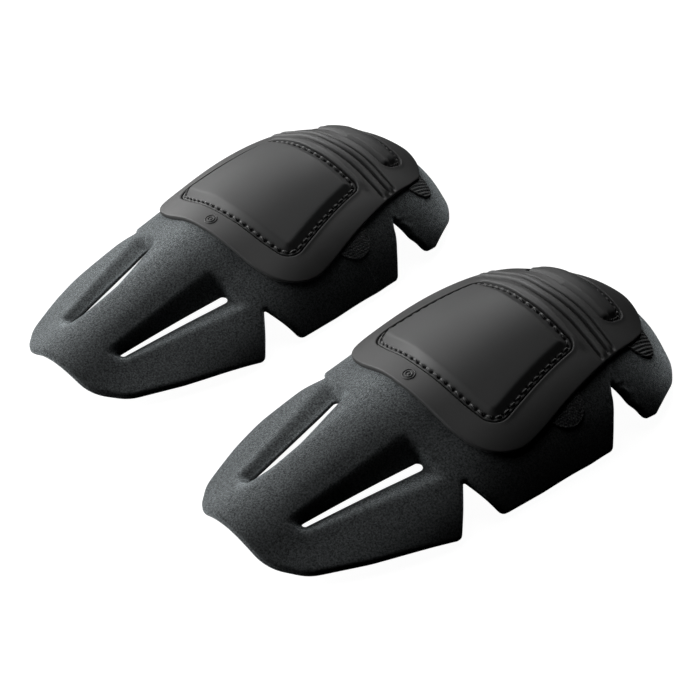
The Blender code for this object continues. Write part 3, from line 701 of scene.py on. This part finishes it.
# lift by distance from the rim: stitched flange, bevel, face
KNEE_PROFILE = curve([(0, 1.0), (0.35, 1.75), (0.7, 1.85), (2.7, 1.85), (3.1, 2.05), (6.1, 3.8),
                      (6.8, 4.08), (7.9, 4.13)])
THIGH_PROFILE = curve([(0, 0.9), (0.3, 1.4), (0.6, 1.5), (1.9, 1.5), (2.3, 1.75), (4.4, 3.55),
                       (5.0, 3.8), (6.2, 3.9)])
KNEE_LEVELS = [0.2, 0.45, 0.8, 1.3, 1.8, 2.3, 2.7, 3.0, 3.3, 4.1, 5.0, 5.8, 6.3, 6.9, 7.6]
THIGH_LEVELS = [0.2, 0.5, 1.1, 1.7, 2.3, 3.0, 3.7, 4.4]
# v, length and bow of the thigh panel's steep front, which has no flange
THIGH_FRONT = (204.6, 2.2, 3.4)
THIGH_FRONT_SHIFT = 1.9
STITCH_PITCH = 4.8
STITCH_INSET = 1.75
THIGH_STITCH_PITCH = 3.2
THIGH_STITCH_INSET = 1.1
THIGH_UNSTITCHED = (27.5, 206.5)
STITCH_HOLE_RADIUS = 0.7
STITCH_HOLE_DEPTH = 1.2
HOLE_RINGS = [(0.28, 6, 0.0), (0.62, 8, 0.3)]
SHOCK_PAD_INSET = 8.0
SHOCK_PAD_UNDER = 0.3
SHOCK_PAD_SIDE = 1.05
SHOCK_PAD_ROUND = 0.8
SHOCK_PAD_LEVELS = [0.2, 0.5, 0.9]


def hole_points(corners, depth, pitch):
    return even(rounded(inset(whole(corners), PANEL_GAP + depth)), pitch)


def panel_piece(name, corners, profile, holes_at, crown, middle_v, half_size, levels,
                front=None):
    """Bevelled panel with a flange, sunk a little at each stitch hole."""
    rim = Outline(even(rounded(inset(whole(corners), PANEL_GAP)), PANEL_SPACING))

    def top(uv):
        d = rim.distance(uv)
        across = uv[:, 0] / half_size[0]
        along = (uv[:, 1] - middle_v) / half_size[1]
        lift = profile(d)
        raised = np.maximum(lift - profile(PANEL_FLANGE_AT), 0)
        lift -= PANEL_LEAN * raised * uv[:, 0] / half_size[0]
        lift += (crown * step((d - PANEL_CROWN_START[0]) / PANEL_CROWN_START[1])
                 * ((1 - across ** 2) * (1 - along ** 2)))
        if front:
            at, length, bow = front
            share = 1 - step((uv[:, 1] - at - bow * across ** 2) / length)
            steep = np.maximum(lift, profile(d + THIGH_FRONT_SHIFT))
            lift = lift * (1 - share) + steep * share
        return lift - STITCH_HOLE_DEPTH * bell(gap_to(holes_at, uv) / STITCH_HOLE_RADIUS)

    extra = [holes_at + radius * way for radius, count, start in HOLE_RINGS
             for way in circle(count, start)]
    return solid(name, rim, [], top, flat_at(PANEL_UNDER), levels, 1.8, 3.5,
                 extra=np.vstack([*extra, holes_at]), wall=PANEL_WALL)


def shock_pad_piece():
    rim = Outline(even(rounded(inset(whole(WINDOW_CORNERS), SHOCK_PAD_INSET)), 1.5))

    def top(uv):
        d = np.minimum(rim.distance(uv) / SHOCK_PAD_ROUND, 1)
        return SHOCK_PAD_SIDE + SHOCK_PAD_ROUND * np.sqrt(1 - (1 - d) ** 2)

    return solid("shock_pad", rim, [], top, flat_at(SHOCK_PAD_UNDER), SHOCK_PAD_LEVELS, 3.0, 4.0)


# ---- thread ---------------------------------------------------------------------------------

THREAD_SIDES = 8
THREAD_RINGS = 9
# start and length of a stitch, as shares of the way from hole to hole
STITCH_SPAN = (0.13, 0.74)
STITCH_ARCH_POWER = 0.55
STITCH_SUNK = 0.35
STITCH_RISE = 0.45
# share of the full radius at a stitch's ends, and what its middle adds
THREAD_FAT = (0.55, 0.45)


def stitches_piece(name, path, flange_lift, radius, slant, closed=True):
    """One closed thread loop for each stitch, dipping into a hole at both ends."""
    points = []
    faces = []
    count = len(path)
    for i in range(count if closed else count - 1):
        a = path[i]
        along = path[(i + 1) % count] - a
        length = np.linalg.norm(along)
        along /= length
        across = np.array([-along[1], along[0]])
        base = len(points)
        for k in range(THREAD_RINGS):
            t = k / (THREAD_RINGS - 1)
            reach = STITCH_SPAN[0] + STITCH_SPAN[1] * t
            arch = math.sin(math.pi * t) ** STITCH_ARCH_POWER
            fat = radius * (THREAD_FAT[0] + THREAD_FAT[1] * math.sin(math.pi * t) ** 0.5)
            uv = a + along * length * reach + across * (slant * (0.5 - t))
            lift = flange_lift - STITCH_SUNK + arch * (radius + STITCH_RISE)
            for s in range(THREAD_SIDES):
                angle = math.tau * s / THREAD_SIDES
                points.append((*(uv + across * fat * math.cos(angle)),
                               lift + fat * math.sin(angle)))
        faces += tube_faces(base, THREAD_RINGS, THREAD_SIDES)
        last = base + (THREAD_RINGS - 1) * THREAD_SIDES
        faces.append([base + s for s in range(THREAD_SIDES)][::-1])
        faces.append([last + s for s in range(THREAD_SIDES)])
    points = np.array(points)
    return body(name, place(points[:, :2], points[:, 2]), faces)


# ---- plug and patches -----------------------------------------------------------------------

PLUG_AT = np.array([0.0, 105.4])
PLUG_SIDES = 40
# (radius, lift above the cap)
PLUG_PROFILE = [(0.0, 0.5), (0.55, 0.5), (0.75, 0.4), (0.85, 0.05), (1.3, 0.05), (1.4, 0.4),
                (1.6, 0.5), (1.95, 0.5), (2.15, 0.4), (2.25, -0.25), (2.75, -0.25), (2.85, 0.35),
                (3.05, 0.45), (3.3, 0.4), (3.5, 0.1), (3.6, -0.2)]
SIDE_PATCH_AT = (57.6, 151.4)
SIDE_PATCH_RADIUS = 11.9
UPPER_PATCH_AT = (38.0, 221.6)
UPPER_PATCH_RADIUS = 13.2
# (angle in degrees, pitch) of the rows of hooks
SIDE_PATCH_ROWS = [(45, 1.35), (135, 1.35)]
UPPER_PATCH_ROWS = [(14, 2.1)]
PATCH_GAP = 0.4
PATCH_UNDER = 0.02
PATCH_BASE = 0.2
PATCH_THICKNESS = 0.55
PATCH_RIB = 0.7
PATCH_ROUND = 0.6
PATCH_HEM = (0.5, 0.5)
PATCH_HEM_SHARE = 0.7
PATCH_SIDES = 240
PATCH_LEVELS = [0.15, 0.35, 0.6, 0.9]


def plug_piece():
    """Small moulded boss with two plain rings."""
    base = float(cap_top(PLUG_AT[None])[0])
    uv = [PLUG_AT]
    lifts = [base + PLUG_PROFILE[0][1]]
    for r, h in PLUG_PROFILE[1:]:
        for s in range(PLUG_SIDES):
            a = math.tau * s / PLUG_SIDES
            uv.append(PLUG_AT + r * np.array([math.cos(a), math.sin(a)]))
            lifts.append(base + h)
    rings = len(PLUG_PROFILE) - 1
    faces = [[0, 1 + s, 1 + (s + 1) % PLUG_SIDES] for s in range(PLUG_SIDES)]
    faces += [[a, d, c, b] for a, b, c, d in tube_faces(1, rings, PLUG_SIDES)]
    faces.append([1 + (rings - 1) * PLUG_SIDES + s for s in range(PLUG_SIDES)])
    return body("cap_plug", place(np.array(uv), np.array(lifts)), faces)


def patch_piece(name, at, radius, rows, side):
    """Round hook patch sewn to a wing, cut along the cap's edge, with ribs or a mesh of hooks."""
    ring = np.array([(at[0] + radius * x, at[1] + radius * y) for x, y in circle(PATCH_SIDES)])
    clear = ~CAP.inside(ring) & (CAP.distance(ring) > PATCH_GAP)
    first = np.flatnonzero(clear & ~np.roll(clear, 1))[0]
    arc = np.roll(ring, -first, 0)[:int(clear.sum())]
    edge = CAP.loop + outward(CAP.loop) * PATCH_GAP
    edge = edge[(np.linalg.norm(edge - np.array(at), axis=1) < radius) & (edge[:, 0] > 0)]
    edge = edge[np.argsort(edge[:, 1])]
    if np.linalg.norm(edge[0] - arc[-1]) > np.linalg.norm(edge[-1] - arc[-1]):
        edge = edge[::-1]
    rim = Outline(even(np.vstack([arc, edge]), 0.5) * np.array([side, 1.0]))

    def top(uv):
        d = rim.distance(uv)
        x = uv[:, 0] * side - at[0]
        y = uv[:, 1] - at[1]
        weave = np.ones(len(uv))
        for angle, pitch in rows:
            across = x * math.cos(math.radians(angle)) + y * math.sin(math.radians(angle))
            weave = weave * (0.5 + 0.5 * np.cos(math.tau * across / pitch))
        edge_round = np.sqrt(1 - (1 - np.minimum(d / PATCH_ROUND, 1)) ** 2)
        hem = 1 - step((d - PATCH_HEM[0]) / PATCH_HEM[1])
        return (PATCH_BASE + (PATCH_THICKNESS - PATCH_BASE) * edge_round
                + PATCH_RIB * np.maximum(weave, PATCH_HEM_SHARE * hem) * edge_round)

    return solid(name, rim, [], top, flat_at(PATCH_UNDER), PATCH_LEVELS, 0.45, 1.5)


# ---- materials ------------------------------------------------------------------------------

class Look:
    """Node material in the making. Scales are in cells a metre, bump distances in metres."""

    def __init__(self, name):
        self.material = bpy.data.materials.new(name)
        self.material.use_nodes = True
        self.nodes = self.material.node_tree.nodes
        self.links = self.material.node_tree.links
        self.shader = self.nodes["Principled BSDF"]
        self.coords = self.nodes.new("ShaderNodeTexCoord").outputs["Object"]

    def feed(self, name, source):
        self.links.new(source, self.shader.inputs[name])

    def fix(self, values):
        for name, value in values.items():
            self.shader.inputs[name].default_value = value

    def node(self, kind, values, sources):
        """New node with plain values and links in its inputs."""
        made = self.nodes.new("ShaderNode" + kind)
        for name, value in values.items():
            made.inputs[name].default_value = value
        for name, source in sources.items():
            self.links.new(source, made.inputs[name])
        return made

    def noise(self, scale, detail, roughness):
        values = {"Scale": scale, "Detail": detail, "Roughness": roughness}
        return self.node("TexNoise", values, {"Vector": self.coords}).outputs["Fac"]

    def ramp(self, value, low, high):
        """Colour ramp between two (position, colour) stops."""
        made = self.node("ValToRGB", {}, {"Fac": value})
        for element, (at, colour) in zip(made.color_ramp.elements, (low, high)):
            element.position = at
            element.color = (*colour, 1)
        return made.outputs["Color"]

    def remap(self, value, low, high, from_low=0.0, from_high=1.0):
        values = {"From Min": from_low, "From Max": from_high, "To Min": low, "To Max": high}
        return self.node("MapRange", values, {"Value": value}).outputs["Result"]

    def multiply(self, a, b):
        made = self.node("Mix", {}, {})
        made.data_type = "RGBA"
        made.blend_type = "MULTIPLY"
        made.inputs["Factor"].default_value = 1.0
        self.links.new(a, made.inputs[6])
        self.links.new(b, made.inputs[7])
        return made.outputs[2]

    def bump(self, height, distance, strength, normal=None):
        sources = {"Height": height}
        if normal is not None:
            sources["Normal"] = normal
        values = {"Distance": distance, "Strength": strength}
        return self.node("Bump", values, sources).outputs["Normal"]


def grey(value):
    return (value, value, value)


def scaled(colour, share):
    return tuple(c * share for c in colour)


def fabric(name, dark, light, sheen, speckle):
    """Brushed loop fabric: soft speckle, fine nap and a dusty sheen."""
    look = Look(name)
    fine = look.noise(speckle, 4.0, 0.75)
    broad = look.noise(45, 3.0, 0.6)
    nap = look.noise(speckle * 2.2, 2.0, 0.6)
    colour = look.ramp(fine, (0.36, dark), (0.64, light))
    tone = look.ramp(broad, (0.3, grey(0.82)), (0.7, grey(1.0)))
    look.feed("Base Color", look.multiply(colour, tone))
    look.feed("Roughness", look.remap(fine, 0.85, 1.0))
    soft = look.bump(broad, 0.0006, 0.35)
    grain = look.bump(fine, 0.0005, 0.55, soft)
    look.feed("Normal", look.bump(nap, 0.00022, 0.5, grain))
    look.feed("Sheen Weight", look.remap(fine, 0.25 * sheen, 1.75 * sheen, 0.36, 0.64))
    look.fix({"Sheen Roughness": 0.42, "Sheen Tint": (0.85, 0.93, 0.96, 1),
              "Specular IOR Level": 0.12})
    return look.material


def rubber(name, colour, roughness):
    """Matt moulded rubber with a fine texture and soft handling marks."""
    look = Look(name)
    fine = look.noise(1800, 3.0, 0.55)
    broad = look.noise(28, 4.0, 0.6)
    tone = look.ramp(broad, (0.3, scaled(colour, 0.88)), (0.7, scaled(colour, 1.12)))
    speck = look.ramp(fine, (0.3, grey(0.93)), (0.7, grey(1.0)))
    look.feed("Base Color", look.multiply(tone, speck))
    look.feed("Roughness", look.remap(broad, roughness - 0.05, roughness + 0.06, 0.3, 0.7))
    soft = look.bump(broad, 0.0004, 0.12)
    look.feed("Normal", look.bump(fine, 0.00006, 0.3, soft))
    look.fix({"Specular IOR Level": 0.28})
    return look.material


def thread(name, colour):
    """Spun thread: fine diagonal twist along the stitch."""
    look = Look(name)
    wave = look.node("TexWave", {"Scale": 420, "Distortion": 1.5}, {"Vector": look.coords})
    wave.bands_direction = "DIAGONAL"
    twist = wave.outputs["Fac"]
    look.feed("Base Color", look.ramp(twist, (0.2, scaled(colour, 0.55)), (0.8, colour)))
    look.feed("Normal", look.bump(twist, 0.0002, 0.6))
    look.feed("Roughness", look.remap(twist, 0.5, 0.7))
    look.fix({"Sheen Weight": 0.2})
    return look.material


def hook(name, dark, light):
    """Hook fastener: rows of tiny stiff hooks."""
    look = Look(name)
    cells = look.node("TexVoronoi", {"Scale": 900, "Randomness": 0.35}, {"Vector": look.coords})
    hooks = cells.outputs["Distance"]
    look.feed("Base Color", look.ramp(hooks, (0.15, light), (0.6, dark)))
    look.feed("Normal", look.bump(hooks, 0.0006, 0.8))
    look.feed("Roughness", look.remap(hooks, 0.6, 0.95))
    look.fix({"Sheen Weight": 0.15})
    return look.material


FOAM_FABRIC = fabric("foam_fabric", (0.0045, 0.0054, 0.0059), (0.047, 0.05, 0.0513), 0.85, 1150)
CAP_RUBBER = rubber("cap_rubber", grey(0.034), 0.55)
PANEL_RUBBER = rubber("panel_rubber", (0.031, 0.0313, 0.0313), 0.57)
THREAD = thread("thread", grey(0.035))
HOOK_PATCH = hook("hook_patch", (0.006, 0.0075, 0.008), (0.085, 0.09, 0.092))
SHOCK_FOAM = fabric("shock_foam", (0.02, 0.02, 0.022), (0.05, 0.05, 0.055), 0.1, 1500)

# ---- assembly -------------------------------------------------------------------------------

knee_path = hole_points(WINDOW_CORNERS, STITCH_INSET, STITCH_PITCH)
thigh_path = hole_points(THIGH_CORNERS, THIGH_STITCH_INSET, THIGH_STITCH_PITCH)
on_front = ((abs(thigh_path[:, 0]) < THIGH_UNSTITCHED[0])
            & (thigh_path[:, 1] < THIGH_UNSTITCHED[1]))
first_kept = np.flatnonzero(~on_front & np.roll(on_front, 1))[0]
thigh_path = np.roll(thigh_path, -first_kept, 0)[:int((~on_front).sum())]
MESHES = {
    "foam_front": foam_piece("foam_front", True),
    "foam_rear": foam_piece("foam_rear", False),
    "cap": cap_piece(),
    "knee_panel": panel_piece("knee_panel", WINDOW_CORNERS, KNEE_PROFILE, knee_path, 0.6,
                              145, (46, 36), KNEE_LEVELS),
    "knee_stitches": stitches_piece("knee_stitches", knee_path, 1.85, 0.5, 0.3),
    "thigh_panel": panel_piece("thigh_panel", THIGH_CORNERS, THIGH_PROFILE, thigh_path, 0.4,
                               208.3, (29, 8), THIGH_LEVELS, THIGH_FRONT),
    "thigh_stitches": stitches_piece("thigh_stitches", thigh_path, 1.5, 0.34, 0.25, False),
    "shock_pad": shock_pad_piece(),
    "cap_plug": plug_piece(),
}
for sign, letter in ((1, "a"), (-1, "b")):
    MESHES["side_patch_" + letter] = patch_piece(
        "side_patch", SIDE_PATCH_AT, SIDE_PATCH_RADIUS, SIDE_PATCH_ROWS, sign)
    MESHES["upper_patch_" + letter] = patch_piece(
        "upper_patch", UPPER_PATCH_AT, UPPER_PATCH_RADIUS, UPPER_PATCH_ROWS, sign)

# material and slot by the first letters of a mesh's key
MATERIAL_OF = {"foam": (FOAM_FABRIC, "foam_fabric"), "cap": (CAP_RUBBER, "cap_rubber"),
               "knee_panel": (PANEL_RUBBER, "panel_rubber"),
               "thigh_panel": (PANEL_RUBBER, "panel_rubber"),
               "knee_stitches": (THREAD, "thread"), "thigh_stitches": (THREAD, "thread"),
               "shock_pad": (SHOCK_FOAM, "shock_foam"), "side": (HOOK_PATCH, "hook_patch"),
               "upper": (HOOK_PATCH, "hook_patch")}


def guard_place(side):
    x, y, yaw = SIDES[side]
    return Matrix.Translation((x * MM, y * MM, 0)) @ Matrix.Rotation(math.radians(yaw), 4, "Z")


def add(side, key, name, replaced):
    """Put one guard's copy of a mesh in place."""
    mesh = MESHES[key].copy()
    mesh.transform(guard_place(side))
    made = bpy.data.objects.new(f"{side}_{name}", mesh)
    bpy.context.scene.collection.objects.link(made)
    material, slot = next(v for k, v in MATERIAL_OF.items() if key.startswith(k))
    mesh.materials.append(material)
    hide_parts(*[f"{side}_{n}" for n in replaced])
    return made


def bend(piece):
    """Bake a piece's placement into its mesh."""
    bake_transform(piece)


for side in SIDES:
    front = add(side, "foam_front", "foam_front", ["shin_foam", "shin_flex_band", "knee_foam"])
    bend(front)
    rear = add(side, "foam_rear", "foam_rear", ["thigh_flex_band", "thigh_foam"])
    bend(rear)
    cap = add(side, "cap", "cap", ["cap_frame", "cap_ribs", "cap_thigh"])
    bend(cap)
    for key, node in (("knee_panel", "knee_panel"), ("knee_stitches", "knee_stitching"),
                      ("cap_plug", "cap_plug")):
        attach(add(side, key, key + "_looks", [node]), "root")
    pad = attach(add(side, "shock_pad", "shock_pad_looks", ["shock_pad"]), "root")
    for key, node in (("thigh_panel", "thigh_panel"), ("thigh_stitches", "thigh_stitching")):
        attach(add(side, key, key + "_looks", [node]), side + "_thigh")
    for letter in "ab":
        which = "outer" if (side == "left") == (letter == "a") else "inner"
        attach(add(side, "side_patch_" + letter, f"side_patch_{which}_looks",
                    [f"side_patch_{which}"]), "root")
        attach(add(side, "upper_patch_" + letter, f"upper_patch_{which}_looks",
                    [f"upper_patch_{which}"]), side + "_thigh")

# ---- floor, light and camera ----------------------------------------------------------------

FLOOR_HALF = 12.0
FLOOR_GAP = 0.0004
LIGHT_TARGET = (0, 0, 0.03)
LIGHT_DISTANCE = 1.7
LIGHT_SIZE = 1.0
# direction from the guards and watts
LIGHTS = {"key": ((-0.75, -0.3, 0.55), 14), "front": ((-0.68, -0.66, 0.34), 33),
          "side": ((-0.92, -0.05, 0.22), 16), "rear": ((-0.6, 0.55, 0.55), 14),
          "top": ((-0.33, 0.1, 0.93), 7)}
SENSOR_WIDTH = 36
FOCAL_LENGTH = 120.9
CAMERA_AT = (0.80679, -0.49814, 0.7320)
CAMERA_BACK = Vector((0.66949, -0.42051, 0.61234))
CAMERA_RIGHT = Vector((0.60182, 0.79028, -0.11529))

scene = bpy.context.scene
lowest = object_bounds()[0].z
floor_corners = [(x * FLOOR_HALF, y * FLOOR_HALF, 0)
                 for x, y in ((-1, -1), (1, -1), (1, 1), (-1, 1))]
floor_mesh = bpy.data.meshes.new("floor")
floor_mesh.from_pydata(floor_corners, [], [(0, 1, 2, 3)])
floor = bpy.data.objects.new("floor", floor_mesh)
floor.location.z = lowest - FLOOR_GAP
scene.collection.objects.link(floor)
floor_look = Look("floor")
floor_look.fix({"Base Color": (0.2, 0.2, 0.2, 1), "Roughness": 1.0, "Specular IOR Level": 0.0,
                "Emission Color": (1, 1, 1, 1), "Emission Strength": 0.97})
floor_mesh.materials.append(floor_look.material)
floor.visible_diffuse = False
floor.visible_glossy = False

world = bpy.data.worlds.new("studio")
world.use_nodes = True
world.node_tree.nodes["Background"].inputs["Color"].default_value = (1, 1, 1, 1)
world.node_tree.nodes["Background"].inputs["Strength"].default_value = 0.95
world.cycles_visibility.diffuse = False
world.cycles_visibility.glossy = False
scene.world = world
scene.view_settings.view_transform = "Standard"

for name, (direction, power) in LIGHTS.items():
    light = bpy.data.lights.new(name, "AREA")
    light.shape = "RECTANGLE"
    light.size = LIGHT_SIZE
    light.size_y = LIGHT_SIZE
    light.energy = power
    softbox = bpy.data.objects.new(name, light)
    way = Vector(direction).normalized()
    softbox.location = Vector(LIGHT_TARGET) + way * LIGHT_DISTANCE
    softbox.rotation_mode = "QUATERNION"
    softbox.rotation_quaternion = way.to_track_quat("Z", "Y")
    scene.collection.objects.link(softbox)

camera_data = bpy.data.cameras.new("camera")
camera_data.sensor_width = SENSOR_WIDTH
camera_data.lens = FOCAL_LENGTH
camera = bpy.data.objects.new("camera", camera_data)
camera_up = CAMERA_BACK.cross(CAMERA_RIGHT)
camera.matrix_world = Matrix((
    (CAMERA_RIGHT.x, camera_up.x, CAMERA_BACK.x, CAMERA_AT[0]),
    (CAMERA_RIGHT.y, camera_up.y, CAMERA_BACK.y, CAMERA_AT[1]),
    (CAMERA_RIGHT.z, camera_up.z, CAMERA_BACK.z, CAMERA_AT[2]), (0, 0, 0, 1)))
scene.collection.objects.link(camera)
scene.camera = camera
